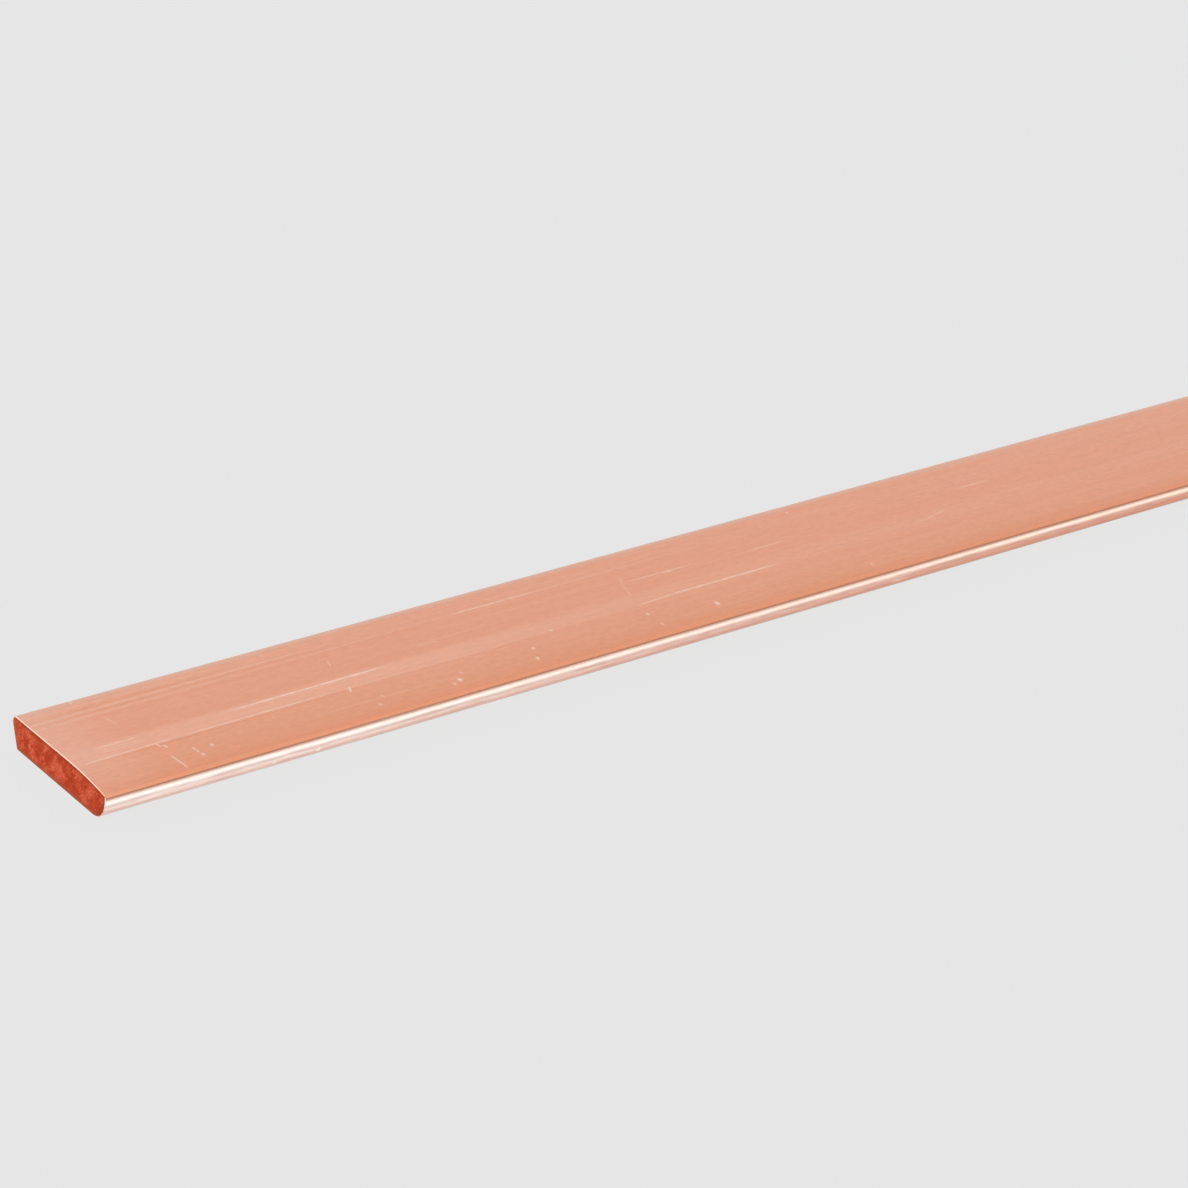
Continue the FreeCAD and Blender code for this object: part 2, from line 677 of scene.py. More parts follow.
NICKS = (
    Nick((16.0, 4.6, 4.75), strength=0.85),
    Nick((14.1, 3.0, 4.6), strength=0.85),
    Nick((39.3, 4.6, 4.75), strength=0.55),
    Nick((38.0, 2.8, 4.58), strength=0.55),
    Nick((49.5, 3.2, 4.62), (0.4, 0.7, 0.7)),
    Nick((48.4, 2.5, 4.55), strength=0.7),
    Nick((50.6, 4.8, 4.76), strength=0.5),
    Nick((60.7, 3.0, 4.6)),
    Nick((61.7, 5.8, 4.83), strength=0.8),
    Nick((66.4, 9.4, 4.98), strength=0.8),
    Nick((79.2, 6.2, 4.86), strength=0.8),
    Nick((79.2, 2.6, 4.56), strength=0.5),
    Nick((88.5, 3.9, 4.69), (0.4, 0.9, 0.8)),
    Nick((89.6, 17.7, 5.0), strength=0.9),
    Nick((114.8, 26.2, 5.0), strength=0.8),
    Nick((112.5, 2.5, 4.55), strength=0.5),
    Nick((33.0, 26.5, 5.0), strength=0.3),
    Nick((7.2, 28.2, 5.0), (0.25, 0.7, 0.6), 0.6),
    Nick((28.4, 1.3, 1.65), (0.45, 0.6, 0.6)),
    Nick((22.4, 1.3, 1.65), (0.45, 0.5, 0.5), 0.8),
    Nick((115.6, 1.2, 1.75), (1.1, 0.5, 0.45), 0.9),
)
# Painted glints on the sawn face: pale spots where the saw's marks catch the light.
SAWN_GLINTS = (
    Nick((0.0, 17.3, 1.9), (1.0, 1.4, 0.6), 1.3),
    Nick((0.0, 25.1, 2.2), (1.0, 0.8, 0.3), 1.4),
    Nick((0.0, 19.4, 3.5), (1.0, 1.3, 0.35)),
    Nick((0.0, 27.6, 1.4), (1.0, 1.0, 0.6)),
    Nick((0.0, 14.4, 2.7), (1.0, 1.1, 0.5), 0.8),
    Nick((0.0, 24.2, 3.1), (1.0, 1.0, 0.25)),
    Nick((0.0, 24.4, 3.8), (1.0, 1.0, 0.3), 0.7),
    Nick((0.0, 8.4, 1.3), (1.0, 1.1, 0.45), 0.7),
    Nick((0.0, 5.1, 2.7), (1.0, 1.6, 0.8), 0.9),
    Nick((0.0, 20.4, 2.2), (1.0, 1.0, 0.3), 0.6),
)
SAWN_DARKS = (
    Nick((0.0, 12.2, 2.1), (1.0, 1.6, 0.8)),
    Nick((0.0, 17.3, 3.5), (1.0, 1.3, 0.6)),
    Nick((0.0, 23.8, 2.6), (1.0, 1.0, 0.3)),
    Nick((0.0, 22.3, 1.9), (1.0, 1.1, 0.5)),
    Nick((0.0, 19.2, 2.1), (1.0, 0.8, 0.4), 0.8),
    Nick((0.0, 8.3, 3.1), (1.0, 1.6, 0.6), 0.8),
    Nick((0.0, 25.3, 2.9), (1.0, 0.9, 0.3), 0.9),
    Nick((0.0, 27.6, 3.7), (1.0, 1.0, 0.4), 0.7),
    Nick((0.0, 14.0, 4.2), (1.0, 2.0, 0.5), 0.8),
)


# Finishes


@dataclass(frozen=True)
class DrawnCopper:
    """The bright satin skin of the long faces, with the die's streaks and the marks of handling.

    The fades that are named for the face lie across it or along it, and those named for the side lie up it.
    """

    section: BarSection
    near_end: float
    name: str = "drawn_copper"

    copper: Colour = (0.845, 0.34, 0.191)
    pale: Colour = (0.87, 0.402, 0.254)
    band: Colour = (0.90, 0.443, 0.293)
    deep: Colour = (0.81, 0.285, 0.135)
    # Partly a rubbed front edge, partly a painted highlight: the pale tint of the bright band on the heel.
    rubbed_and_highlight: Colour = (0.88, 0.48, 0.36)
    worn: Colour = (0.76, 0.34, 0.235)
    # Painted reflection: the greyish tint of the back edge's round.
    back_reflection: Colour = (0.80, 0.475, 0.345)
    shade: Colour = (0.4, 0.16, 0.09)
    bright: Colour = (1.0, 0.76, 0.62)

    broad_streaks: Streaks = Streaks((320.0, 2.6, 3.0), 3.0, 0.3, 0.7)
    fine_streaks: Streaks = Streaks((90.0, 0.4, 0.5), 2.0, 0.25, 0.75)
    clouds: Streaks = Streaks((14.0, 2.2, 4.0), 4.0, 0.3, 0.7)
    grain: Streaks = Streaks((1.1, 0.6, 0.6), 1.5, 0.25, 0.75)
    worn_patches: Streaks = Streaks((4.5, 0.8, 0.55), 3.5, 0.36, 0.64)
    scratch_gaps: Streaks = Streaks((0.9, 0.9, 2.0), 1.0, 0.3, 0.6)
    die_lines: Streaks = Streaks((26.0, 0.22, 0.3), 0.0, 0.68, 0.82)

    face_front: Fade = Fade(2.0, 6.0, 1.0, 0.0)
    # Painted shade: deeper copper along the front edge of the top face.
    face_front_shade: Fade = Fade(0.2, 3.0, 0.3, 0.0)
    face_band_front: Fade = Fade(8.8, 9.4)
    face_band_back: Fade = Fade(12.2, 14.2, 1.0, 0.0)
    face_band_along: Fade = Fade(30.0, 125.0, 0.95, 0.12)
    face_pale_back: Fade = Fade(21.0, 25.5)
    face_pale_back_along: Fade = Fade(5.0, 90.0, 0.5, 0.0)
    face_pale_end: Fade = Fade(1.0, 11.0, 0.5, 0.0)
    face_handled_end: Fade = Fade(0.5, 9.5, 0.35, 0.0)
    face_handled_back: Fade = Fade(2.5, 8.0)
    # Painted reflection along the back edge.
    face_back_reflection: Fade = Fade(26.9, 28.6)
    # Painted highlight on the heel, below the nose.
    side_highlight: Fade = Fade(3.5, 3.9, 1.0, 0.0)
    side_polished: Fade = Fade(4.1, 4.28, 1.0, 0.0)
    side_worn: Fade = Fade(2.4, 3.1, 1.0, 0.1)
    side_scratched: Fade = Fade(4.0, 4.3)

    even_tone: float = 0.32
    fine_tone: float = 0.1
    broad_tone: float = 0.26
    cloud_tone: float = 0.12
    worn_share: float = 0.7
    grain_share: float = 0.1
    gap_share: float = 0.5
    die_line_share: float = 0.15
    speck_spacing: float = 9.0
    speck_size: float = 0.2
    speck_share: float = 0.3

    face_roughness: float = 0.33
    side_roughness: float = 0.13
    fine_roughness: float = 0.08
    mark_roughness: float = 0.1
    fine_height: float = 0.5
    mark_height: float = -1.5
    worn_height: float = -2.5
    relief_depth: float = 0.004
    relief_strength: float = 0.6

    def make(self, effects: Effects) -> bpy.types.Material:
        """Builds the material.

        Args:
            effects: the shared effects.

        Returns:
            The material.
        """
        surface = BarSurface(self.name, effects, self.near_end, -self.section.back)
        wiring = surface.wiring
        fine, broad = self.fine_streaks.mask(surface), self.broad_streaks.mask(surface)
        front = self.face_front.at(wiring, surface.across)
        # Painted highlight, partly a rubbed edge: the heel below the nose.
        rubbed_and_highlight = wiring.times(self.side_highlight.at(wiring, surface.up), front)
        polished = wiring.times(self.side_polished.at(wiring, surface.up), front)
        worn = wiring.times(self.worn_patches.mask(surface), rubbed_and_highlight)
        worn = wiring.times(worn, self.side_worn.at(wiring, surface.up))
        marks = self.marks(surface)

        tone = wiring.stack(
            self.even_tone,
            (fine, self.fine_tone),
            (broad, self.broad_tone),
            (self.clouds.mask(surface), self.cloud_tone),
            (self.pale_places(surface), 1.0),
            clamp=True,
        )
        colour = self.streaked(surface, tone)
        # Paints the heel's highlight in, as a pale, rubbed-looking tint.
        colour = wiring.mix(rubbed_and_highlight, colour, self.rubbed_and_highlight)
        colour = wiring.mix(wiring.times(worn, self.worn_share), colour, self.worn)
        # Paints the back edge's reflection in.
        colour = wiring.mix(self.face_back_reflection.at(wiring, surface.across), colour, self.back_reflection)
        grain = wiring.times(self.grain.mask(surface), self.grain_share)
        colour = wiring.mix(marks, wiring.mix(grain, colour, self.shade), self.bright)

        roughness = wiring.stack(
            self.face_roughness, (fine, self.fine_roughness), (marks, self.mark_roughness)
        )
        smoother = wiring.less(self.side_roughness, roughness)
        height = wiring.stack(
            broad, (fine, self.fine_height), (marks, self.mark_height), (worn, self.worn_height)
        )
        surface.feed_shader(
            {
                "Base Color": colour,
                "Roughness": wiring.stack(roughness, (polished, smoother)),
                "Metallic": 1.0,
                "Normal": surface.bump(height, self.relief_depth, self.relief_strength),
            }
        )
        return surface.material

    def streaked(self, surface: BarSurface, tone: Socket) -> Socket:
        """The top face's colour, with its pale band, its dark lines and painted shade along its front edge.

        Args:
            surface: the finish.
            tone: how pale the skin is at each place.

        Returns:
            The colour.
        """
        wiring = surface.wiring
        colour = wiring.mix(tone, self.copper, self.pale)
        colour = wiring.mix(self.pale_band(surface), colour, self.band)
        dark_lines = wiring.greatest(line.mask(surface) for line in DARK_LINES)
        colour = wiring.mix(dark_lines, colour, self.deep)
        # Painted shade along the front edge.
        colour = wiring.mix(self.face_front_shade.at(wiring, surface.across), colour, self.deep)
        handled = wiring.times(
            self.face_handled_end.at(wiring, surface.along),
            self.face_handled_back.at(wiring, surface.across),
        )
        return wiring.mix(handled, colour, self.rubbed_and_highlight)

    def pale_band(self, surface: BarSurface) -> Socket:
        """The paler band along the middle of the top face, which fades away from the near end.

        Args:
            surface: the finish.

        Returns:
            Where the band shows.
        """
        wiring = surface.wiring
        front = self.face_band_front.at(wiring, surface.across)
        back = self.face_band_back.at(wiring, surface.across)
        fade = self.face_band_along.at(wiring, surface.along)
        return wiring.times(wiring.times(front, back), fade)

    def pale_places(self, surface: BarSurface) -> Socket:
        """Where the skin is slightly paler: at the back of the top face, and just before the near end.

        Args:
            surface: the finish.

        Returns:
            How much paler it is.
        """
        wiring = surface.wiring
        fade = self.face_pale_back_along.at(wiring, surface.along)
        near_end = self.face_pale_end.at(wiring, surface.along)
        return wiring.stack(near_end, (self.face_pale_back.at(wiring, surface.across), fade))

    def marks(self, surface: BarSurface) -> Socket:
        """The scratches and dents that have places of their own, and the specks scattered among them.

        Args:
            surface: the finish.

        Returns:
            Where the marks show.
        """
        wiring = surface.wiring
        scratches = wiring.greatest(mark.mask(surface) for mark in LONG_LINES + CROSS_SCRATCHES)
        unbroken = wiring.stack(
            1.0 - self.gap_share, (self.scratch_gaps.mask(surface), self.gap_share)
        )
        on_top = wiring.times(scratches, self.side_scratched.at(wiring, surface.up))
        on_top = wiring.times(on_top, unbroken)
        nicks = wiring.greatest(nick.mask(surface) for nick in NICKS)
        lines = wiring.times(self.die_lines.mask(surface), self.die_line_share)
        specks = surface.effects.specks.used_in(
            wiring,
            Place=surface.place,
            Spacing=self.speck_spacing,
            Size=self.speck_size,
            Share=self.speck_share,
        )
        return wiring.greatest((on_top, nicks, lines, specks))


@dataclass(frozen=True)
class SawnCopper:
    """The deep red face that the saw leaves: mottled and streaked aslant, with painted glints on it, and
    painted shade and painted light at its rim.
    """

    section: BarSection
    near_end: float
    name: str = "sawn_copper"

    red: Colour = (0.59, 0.09, 0.042)
    dark: Colour = (0.46, 0.058, 0.024)
    # Paler red of the mottling; also the colour of the painted glints.
    light: Colour = (0.82, 0.205, 0.12)
    # Painted shade: the dark rim round the sawn face.
    rim: Colour = (0.24, 0.05, 0.022)
    # Painted light: the pale greyish rim along the underside and the back.
    rim_light: Colour = (0.42, 0.19, 0.125)
    edge_tint: Colour = (0.9, 0.5, 0.42)

    slant: float = 28.0
    blotches: Streaks = Streaks((9.0, 3.6, 1.5), 2.5, 0.36, 0.64)
    strokes: Streaks = Streaks((5.0, 0.9, 0.26), 2.0, 0.36, 0.66)
    grain: Streaks = Streaks((0.3, 0.22, 0.16), 2.0, 0.3, 0.7)
    blotch_tone: float = 0.47
    stroke_tone: float = 0.35
    grain_tone: float = 0.2
    dark_tone: float = -0.4
    # How strong the painted glints are.
    glint_share: float = 0.75
    dark_to_red: Fade = Fade(0.1, 0.6)
    red_to_light: Fade = Fade(0.5, 0.95, 0.0, 0.75)

    # Painted shade at the rim.
    rim_shade: Fade = Fade(0.05, 1.0, 0.62, 0.0)
    # Painted light at the rim.
    rim_light_foot: Fade = Fade(0.2, 1.0, 0.5, 0.0)
    rim_light_back: Fade = Fade(0.3, 1.8, 0.6, 0.0)

    roughness: float = 0.42
    grain_roughness: float = 0.15
    relief_depth: float = 0.04
    relief_strength: float = 0.7

    def make(self, effects: Effects) -> bpy.types.Material:
        """Builds the material.

        Args:
            effects: the shared effects.

        Returns:
            The material.
        """
        surface = BarSurface(self.name, effects, self.near_end, -self.section.back)
        wiring = surface.wiring
        turn = {"Vector": surface.place, "Angle": math.radians(self.slant)}
        aslant = wiring.node("ShaderNodeVectorRotate", turn, rotation_type="X_AXIS").outputs[0]
        grain = self.grain.mask(surface)
        # Painted glints where the saw's marks catch the light, and placed darker patches.
        lights, darks = (
            wiring.greatest(mark.turned(self.slant).mask(surface, aslant) for mark in marks)
            for marks in (SAWN_GLINTS, SAWN_DARKS)
        )
        tone = wiring.stack(
            0.0,
            (self.blotches.mask(surface, aslant), self.blotch_tone),
            (self.strokes.mask(surface, aslant), self.stroke_tone),
            (grain, self.grain_tone),
            (darks, self.dark_tone),
            clamp=True,
        )
        colour = wiring.mix(self.dark_to_red.at(wiring, tone), self.dark, self.red)
        colour = wiring.mix(self.red_to_light.at(wiring, tone), colour, self.light)
        # Paints the glints in.
        lit = wiring.maths("MULTIPLY", lights, self.glint_share, clamp=True)
        colour = wiring.mix(lit, colour, self.light)
        # Paints the rim's shade in.
        colour = wiring.mix(self.painted_rim_shade(surface), colour, self.rim)
        surface.feed_shader(
            {
                # The base colour also gets the rim's painted light.
                "Base Color": wiring.mix(self.painted_rim_light(surface), colour, self.rim_light),
                "Roughness": wiring.stack(self.roughness, (grain, self.grain_roughness)),
                "Metallic": 1.0,
                "Specular Tint": self.edge_tint,
                "Normal": surface.bump(tone, self.relief_depth, self.relief_strength),
            }
        )
        return surface.material

    def painted_rim_shade(self, surface: BarSurface) -> Socket:
        """The painted shade: a dark rim along the top of the sawn face and round the heel.

        Args:
            surface: the finish.

        Returns:
            Where the rim is dark.
        """
        section, wiring = self.section, surface.wiring
        before_shoulder = wiring.less(section.shoulder_width, surface.across)
        before_shoulder = wiring.maths("MAXIMUM", before_shoulder, 0.0)
        drop = wiring.times(before_shoulder, before_shoulder)
        drop = wiring.maths("DIVIDE", drop, 2 * section.shoulder_radius)
        from_top = wiring.less(wiring.less(section.thickness, surface.up), drop)

        before_heel = wiring.less(surface.across, section.heel_across + section.back)
        before_heel = wiring.maths("MINIMUM", before_heel, 0.0)
        below_heel = wiring.less(section.heel_radius, surface.up)
        squares = wiring.stack(wiring.times(below_heel, below_heel), (before_heel, before_heel))
        from_heel = wiring.less(section.heel_radius, wiring.maths("SQRT", squares))
        return self.rim_shade.at(wiring, wiring.maths("MINIMUM", from_top, from_heel))

    def painted_rim_light(self, surface: BarSurface) -> Socket:
        """The painted light: a pale greyish rim along the underside and the back of the sawn face.

        Args:
            surface: the finish.

        Returns:
            Where the painted light lies.
        """
        wiring = surface.wiring
        from_back = wiring.less(self.section.width, surface.across)
        foot = self.rim_light_foot.at(wiring, surface.up)
        return wiring.maths("MAXIMUM", foot, self.rim_light_back.at(wiring, from_back))


# The bar


@dataclass(frozen=True)
class SawRelief:
    """A pattern pressed into a sawn face.

    name: what the pattern is.
    kind: Blender's own pattern that makes it.
    depth: how deep it goes, in millimetres.
    scale: how large the pattern's own space is, in millimetres.
    slant: degrees that space is turned about the bar's length.
    """

    name: str
    kind: str
    depth: float
    scale: float
    slant: float

    def press(self, bar: bpy.types.Object, group: str, side: BarEnd) -> None:
        """Sinks the pattern into one end of the bar.

        Args:
            bar: the bar, in object mode.
            group: the vertex group that may move.
            side: the end that it belongs to.
        """
        pattern = bpy.data.textures.new(self.name, self.kind)
        pattern.noise_scale = 1.0
        space = bpy.data.objects.new(f"{self.name}_space", None)
        bpy.context.scene.collection.objects.link(space)
        space.rotation_euler.x = math.radians(self.slant)
        space.scale = [self.scale * MM] * 3
        bpy.context.view_layer.update()
        press = bar.modifiers.new(self.name, "DISPLACE")
        press.texture = pattern
        press.texture_coords = "OBJECT"
        press.texture_coords_object = space
        press.direction = "X"
        press.mid_level = 0.0
        press.strength = -side.value * self.depth * MM
        press.vertex_group = group
        bpy.context.view_layer.objects.active = bar
        bpy.ops.object.modifier_apply(modifier=press.name)
        bpy.data.objects.remove(space)
        bpy.data.textures.remove(pattern)


@dataclass
class Busbar:
    """The bar: drawn copper on its long faces, sawn copper at its ends."""

    section: BarSection
    length: float
    edge_break: float = 0.1
    grid_across: float = 0.5
    grid_up: float = 0.25
    smooth_angle: float = 30.0
    square_on: float = 0.9
    merge_distance: float = 0.002
    saw_marks: tuple[SawRelief, ...] = (
        SawRelief("blade_marks", "WOOD", depth=0.036, scale=0.05, slant=52.0),
        SawRelief("torn_grain", "CLOUDS", depth=0.024, scale=0.5, slant=0.0),
    )

    @property
    def end(self) -> float:
        """How far the sawn faces stand from the middle of the bar."""
        return self.length / 2

    @property
    def drawn_end(self) -> float:
        """How far from the middle the long faces run before the broken edge begins."""
        return self.end - self.edge_break

    def build(self) -> bpy.types.Object:
        """Models the bar.

        Returns:
            The bar, with its place in its mesh.
        """
        deselect_everything()
        bar = self.raise_block()
        bpy.ops.object.mode_set(mode="EDIT")
        self.round_back(bar)
        self.roll_front(bar)
        self.close_ends(bar)
        self.grid_ends(bar)
        bpy.ops.mesh.select_all(action="SELECT")
        bpy.ops.mesh.normals_make_consistent(inside=False)
        bpy.ops.object.mode_set(mode="OBJECT")
        self.saw_faces(bar)
        return bar

    def raise_block(self) -> bpy.types.Object:
        """Adds the plain block between the back edge and the shoulder.

        Returns:
            The block, in object mode.
        """
        front, back = self.section.shoulder_across, self.section.back
        bpy.ops.mesh.primitive_cube_add(
            size=1,
            location=(0, (front + back) / 2 * MM, self.section.thickness / 2 * MM),
            scale=(2 * self.drawn_end * MM, (back - front) * MM, self.section.thickness * MM),
        )
        bar = bpy.context.object
        bar.name = "copper_bar"
        bar.data.name = bar.name
        bpy.ops.object.transform_apply(location=True, rotation=True, scale=True)
        return bar

    def round_back(self, bar: bpy.types.Object) -> None:
        """Bevels the two long edges of the back.

        Args:
            bar: the bar, in edit mode.
        """
        section = self.section
        for height, radius in (
            (0.0, section.lower_back_radius),
            (section.thickness, section.upper_back_radius),
        ):
            choose(
                bar,
                Element.EDGES,
                lambda v, height=height: near(v.y, section.back) and near(v.z, height),
            )
            bpy.ops.mesh.bevel(
                offset=radius * MM, segments=section.corner_steps, profile=0.5, affect="EDGES"
            )

    def roll_front(self, bar: bpy.types.Object) -> None:
        """Opens the block's front and ends, then spins its top edge round the front.

        Args:
            bar: the bar, in edit mode.
        """
        front, top = self.section.shoulder_across, self.section.thickness
        for wall in (
            lambda v: near(v.y, front),
            lambda v: near(v.x, -self.drawn_end),
            lambda v: near(v.x, self.drawn_end),
        ):
            choose(bar, Element.FACES, wall)
            bpy.ops.mesh.delete(type="FACE")
        choose(bar, Element.EDGES, lambda v: near(v.y, front) and near(v.z, 0))
        bpy.ops.transform.translate(value=(0, (self.section.heel_across - front) * MM, 0))
        choose(bar, Element.EDGES, lambda v: near(v.y, front) and near(v.z, top))
        for arc in self.section.front_arcs():
            bpy.ops.mesh.spin(
                steps=arc.steps,
                angle=-math.radians(arc.sweep),
                center=(0, arc.across * MM, arc.up * MM),
                axis=(1, 0, 0),
                use_auto_merge=False,
            )
        bpy.ops.mesh.select_all(action="SELECT")
        bpy.ops.mesh.remove_doubles(threshold=self.merge_distance * MM)

    def close_ends(self, bar: bpy.types.Object) -> None:
        """Fills each end, then insets and lifts the face, which leaves the broken edge round it.

        Args:
            bar: the bar, in edit mode.
        """
        stands = [side.value * self.drawn_end for side in BarEnd]
        for stand in stands:
            choose(bar, Element.EDGES, lambda v, stand=stand: near(v.x, stand))
            bpy.ops.mesh.edge_face_add()
        bpy.ops.mesh.select_all(action="SELECT")
        bpy.ops.mesh.normals_make_consistent(inside=False)
        for stand in stands:
            choose(bar, Element.FACES, lambda v, stand=stand: near(v.x, stand))
            bpy.ops.mesh.inset(thickness=self.edge_break * MM, depth=self.edge_break * MM)

    def grid_ends(self, bar: bpy.types.Object) -> None:
        """Cuts both sawn faces into a fine grid, so that the saw's marks can be pressed into them.

        Args:
            bar: the bar, in edit mode.
        """
        columns = int(self.section.width / self.grid_across)
        rows = int(self.section.thickness / self.grid_up)
        across = [n * self.grid_across - self.section.back for n in range(1, columns)]
        up = [n * self.grid_up for n in range(1, rows)]
        cuts = [((0, place * MM, 0), (0, 1, 0)) for place in across]
        cuts += [((0, 0, place * MM), (0, 0, 1)) for place in up]
        for place, direction in cuts:
            choose(bar, Element.FACES, lambda v: near(abs(v.x), self.end))
            bpy.ops.mesh.bisect(plane_co=place, plane_no=direction)

    def saw_faces(self, bar: bpy.types.Object) -> None:
        """Sinks the saw's slanting marks and the torn grain a little way into both ends.

        Args:
            bar: the bar, in object mode.
        """
        for side in BarEnd:
            group = bar.vertex_groups.new(name=f"sawn_{side.name.lower()}")
            group.add(self.inner_vertices(bar, side), 1.0, "REPLACE")
            for relief in self.saw_marks:
                relief.press(bar, group.name, side)

    def inner_vertices(self, bar: bpy.types.Object, side: BarEnd) -> list[int]:
        """The vertices of one sawn face that aren't on its rim.

        Args:
            bar: the bar.
            side: which end.

        Returns:
            Their numbers in the mesh.
        """
        stand = side.value * self.end
        on_face = {v.index for v in bar.data.vertices if near(v.co.x / MM, stand)}
        rim = {
            index
            for face in bar.data.polygons
            if not on_face.issuperset(face.vertices)
            for index in face.vertices
        }
        return sorted(on_face - rim)

    def dress(self, bar: bpy.types.Object) -> None:
        """Gives the long faces the drawn finish and the ends the sawn one.

        Args:
            bar: the bar, in object mode.
        """
        effects = Effects()
        for finish in (DrawnCopper, SawnCopper):
            material = finish(section=self.section, near_end=-self.end).make(effects)
            bar.data.materials.append(material)
            log.info("finish %s: %d nodes", material.name, len(material.node_tree.nodes))
        for face in bar.data.polygons:
            is_sawn = abs(face.normal.x) > self.square_on
            face.material_index = int(is_sawn)

    def smooth(self, bar: bpy.types.Object) -> None:
        """Shades the rounds smoothly and keeps the flats flat.

        Args:
            bar: the bar, in object mode.
        """
        deselect_everything()
        bar.select_set(True)
        bpy.context.view_layer.objects.active = bar
        bpy.ops.object.shade_smooth_by_angle(angle=math.radians(self.smooth_angle))
        weights = bar.modifiers.new("flat_faces_lead", "WEIGHTED_NORMAL")
        weights.keep_sharp = True
        bpy.ops.object.modifier_apply(modifier=weights.name)

    def mount(self, bar: bpy.types.Object) -> None:
        """Puts the bar in the frame in place of the plain one.

        Args:
            bar: the finished bar.
        """
        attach(bar, BODY)
        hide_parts(NODE)


# The studio


@dataclass(frozen=True)
class Glow:
    """How bright the studio is in one direction.

    angle: degrees round the bar's length: 0 is level to the front, 90 straight down, -90 straight up and
        180 level to the back.
    colour: the light's colour and strength there.
    """

    angle: float
    colour: Colour


def grey(strength: float) -> Colour:
    """A plain light of that strength."""
    return (strength, strength, strength)


def cool(strength: float) -> Colour:
    """A slightly cool light of that strength."""
    return (0.94 * strength, strength, 1.16 * strength)


LEFT_GLOW = (
    Glow(-180, grey(1.0)),
    Glow(-162, cool(2.0)),
    Glow(-135, cool(1.7)),
    Glow(-90, grey(0.9)),
    Glow(-20, grey(0.8)),
    Glow(30, grey(0.9)),
    Glow(55, cool(2.2)),
    Glow(90, cool(1.4)),
    Glow(125, grey(0.95)),
    Glow(155, grey(0.9)),
    Glow(180, grey(1.0)),
)
NEAR_GLOW = (
    Glow(-180, grey(0.85)),
    Glow(-168, grey(0.87)),
    Glow(-155, grey(0.89)),
    Glow(-143, grey(0.85)),
    Glow(-125, grey(0.89)),
    Glow(-100, grey(1.0)),
    Glow(-45, grey(1.0)),
    Glow(-22, grey(1.02)),
    Glow(0, grey(1.02)),
    Glow(14, grey(0.92)),
    Glow(30, grey(0.68)),
    Glow(51, grey(0.43)),
    Glow(62, (0.51, 0.55, 0.57)),
    Glow(68, (0.92, 1.19, 1.35)),
    Glow(74, (1.7, 2.25, 2.7)),
    Glow(82, (1.65, 2.2, 2.75)),
    Glow(86, (0.98, 1.63, 1.97)),
    Glow(90, (0.84, 1.33, 1.61)),
    Glow(99, (1.1, 1.58, 1.84)),
    Glow(105, (1.14, 1.52, 1.74)),
    Glow(112, (0.96, 1.17, 1.29)),
    Glow(123, (0.83, 0.89, 0.88)),
    Glow(150, grey(0.78)),
    Glow(180, grey(0.85)),
)
FAR_GLOW = (
    Glow(-180, grey(0.85)),
    Glow(-168, grey(0.87)),
    Glow(-155, grey(0.885)),
    Glow(-143, grey(0.84)),
    Glow(-125, grey(0.88)),
    Glow(-100, grey(0.93)),
    Glow(-45, grey(0.91)),
    Glow(-20, grey(0.88)),
    Glow(0, grey(0.78)),
    Glow(14, grey(0.64)),
    Glow(30, grey(0.55)),
    Glow(51, grey(0.47)),
    Glow(62, (0.54, 0.59, 0.61)),
    Glow(67.5, (0.95, 1.2, 1.33)),
    Glow(72.5, (1.55, 1.96, 2.2)),
    Glow(77, (1.45, 1.85, 2.0)),
    Glow(81, (1.05, 1.4, 1.5)),
    Glow(85, (0.85, 0.98, 1.03)),
    Glow(92, (0.82, 0.77, 0.75)),
    Glow(104, (0.83, 0.67, 0.59)),
    Glow(112, (0.78, 0.58, 0.49)),
    Glow(121, (0.7, 0.5, 0.4)),
    Glow(150, (0.62, 0.5, 0.44)),
    Glow(180, grey(0.85)),
)


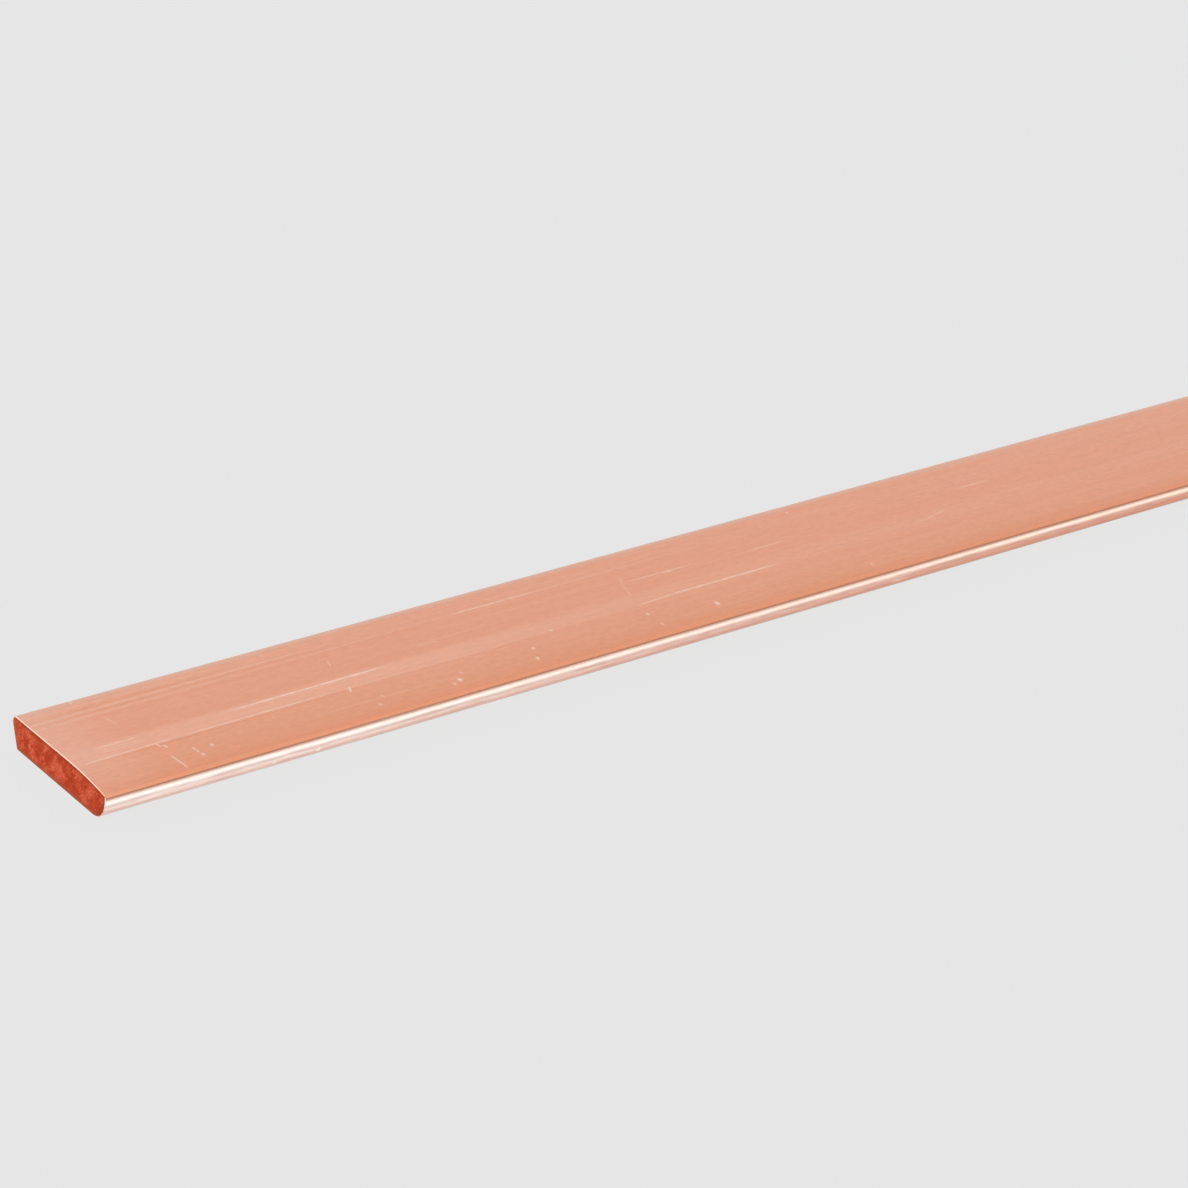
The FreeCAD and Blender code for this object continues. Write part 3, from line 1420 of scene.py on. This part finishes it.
@dataclass(frozen=True)
class Studio:
    """A pale floor under plain soft light."""

    floor_size: float = 12000.0
    floor_gap: float = 0.01
    floor_colour: Colour = (0.02, 0.02, 0.02)
    floor_glow: float = 0.769
    backdrop: Colour = (0.787, 0.787, 0.787)
    overhead_strength: float = 0.1
    overhead_angle: float = 120.0
    near_to_far: Fade = Fade(0.3, 0.62)
    left_side: Fade = Fade(-0.3, 0.1, 1.0, 0.0)

    def build(self) -> None:
        """Lays the floor and sets the lights."""
        self.lay_floor()
        self.hang_overhead()
        self.light_surroundings()
        bpy.context.scene.view_settings.view_transform = "Standard"

    def lay_floor(self) -> None:
        """Adds the floor. It glows, so it has next to no shadow, and it is clear from below."""
        deselect_everything()
        bpy.ops.mesh.primitive_plane_add(
            size=self.floor_size * MM, location=(0, 0, -self.floor_gap * MM)
        )
        floor = bpy.context.object
        floor.name = "floor"
        surface = Surface("pale_floor")
        from_below = surface.wiring.node("ShaderNodeNewGeometry").outputs["Backfacing"]
        surface.feed_shader(
            {
                "Base Color": self.floor_colour,
                "Roughness": 1.0,
                "Specular IOR Level": 0.0,
                "Emission Color": grey(1.0),
                "Emission Strength": self.floor_glow,
                "Alpha": surface.wiring.less(1.0, from_below),
            }
        )
        floor.data.materials.append(surface.material)
        floor.visible_glossy = False

    def hang_overhead(self) -> None:
        """Adds one wide soft light from above, which throws no highlight on the copper."""
        light = bpy.data.lights.new("overhead", "SUN")
        light.energy = self.overhead_strength
        light.angle = math.radians(self.overhead_angle)
        light.use_shadow = False
        lamp = bpy.data.objects.new("overhead", light)
        bpy.context.scene.collection.objects.link(lamp)
        lamp.visible_glossy = False

    def light_surroundings(self) -> None:
        """Makes the soft surroundings that the copper reflects."""
        world = bpy.data.worlds.new("studio")
        world.use_nodes = True
        bpy.context.scene.world = world
        wiring = Wiring(world.node_tree)
        direction = wiring.node("ShaderNodeTexCoord").outputs["Generated"]
        along, across, up = wiring.parts(direction)
        angle = wiring.maths("ARCTAN2", wiring.times(up, -1.0), wiring.times(across, -1.0))
        turn = wiring.stack(0.5, (angle, 1 / math.tau))
        left, close, far = (
            self.ramp(wiring, turn, glows) for glows in (LEFT_GLOW, NEAR_GLOW, FAR_GLOW)
        )
        colour = wiring.mix(self.near_to_far.at(wiring, along), close, far)
        colour = wiring.mix(self.left_side.at(wiring, along), colour, left)
        seen = wiring.node("ShaderNodeLightPath").outputs["Is Camera Ray"]
        background = world.node_tree.nodes["Background"]
        wiring.feed(background.inputs["Color"], wiring.mix(seen, colour, self.backdrop))

    def ramp(self, wiring: Wiring, turn: Socket, glows: Sequence[Glow]) -> Socket:
        """Spreads the glows round the bar's length.

        Args:
            wiring: the world's tree.
            turn: the direction, from 0 to 1 for a whole turn.
            glows: the glows in order of angle.

        Returns:
            The light's colour in each direction.
        """
        ramp = wiring.node("ShaderNodeValToRGB", {0: turn})
        stops = ramp.color_ramp
        stops.interpolation = "EASE"
        while len(stops.elements) < len(glows):
            stops.elements.new(1.0)
        for stop, glow in zip(stops.elements, glows):
            stop.position = (glow.angle + 180) / 360
            stop.color = (*glow.colour, 1.0)
        return ramp.outputs[0]


@dataclass(frozen=True)
class PhotographCamera:
    """The camera at the photograph's viewing angle.

    place: in millimetres from the near end, the front edge and the underside.
    heading: degrees turned from the bar's back towards its far end.
    pitch: degrees it looks down.
    roll: degrees it leans clockwise.
    focal_pixels, picture_pixels: the focal length and the picture's width.
    sensor_width: in the camera's own millimetres.
    nearest: how close it still sees, in millimetres.
    """

    place: Place = (-115.284, -325.426, 154.063)
    heading: float = 29.377
    pitch: float = 20.778
    roll: float = 4.289
    focal_pixels: float = 3155.17
    picture_pixels: float = 1188
    sensor_width: float = 36.0
    nearest: float = 10.0

    def set_up(self, near_end: float, front: float) -> None:
        """Adds the camera and looks through it.

        Args:
            near_end: the near end's place along X, in millimetres.
            front: the front edge's place across, in millimetres.
        """
        camera = bpy.data.cameras.new("camera")
        camera.sensor_width = self.sensor_width
        camera.lens = self.focal_pixels / self.picture_pixels * self.sensor_width
        camera.clip_start = self.nearest * MM
        holder = bpy.data.objects.new("camera", camera)
        bpy.context.scene.collection.objects.link(holder)
        turned = (
            Matrix.Rotation(math.radians(-self.heading), 4, "Z")
            @ Matrix.Rotation(math.radians(90 - self.pitch), 4, "X")
            @ Matrix.Rotation(math.radians(-self.roll), 4, "Z")
        )
        along, across, up = self.place
        moved = Matrix.Translation(((near_end + along) * MM, (front + across) * MM, up * MM))
        holder.matrix_world = moved @ turned
        bpy.context.scene.camera = holder


def main() -> None:
    """Builds the bar, the studio and the camera, and reports each."""
    logging.basicConfig(level=logging.INFO, format="%(message)s")
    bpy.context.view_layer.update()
    low, high = (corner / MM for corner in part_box(NODE))
    section = BarSection(width=round(high.y - low.y, 2), thickness=round(high.z - low.z, 2))
    busbar = Busbar(section=section, length=round(high.x - low.x, 2))

    bar = busbar.build()
    busbar.dress(bar)
    busbar.smooth(bar)
    busbar.mount(bar)
    log.info("bar: %s, %d vertices, %d faces", bar.name, len(bar.data.vertices), len(bar.data.polygons))

    Studio().build()
    log.info("studio: floor, overhead light and surroundings")
    PhotographCamera().set_up(near_end=-busbar.end, front=-section.back)
    log.info("camera: at the photograph's viewing angle")


if __name__ == "__main__":
    main()
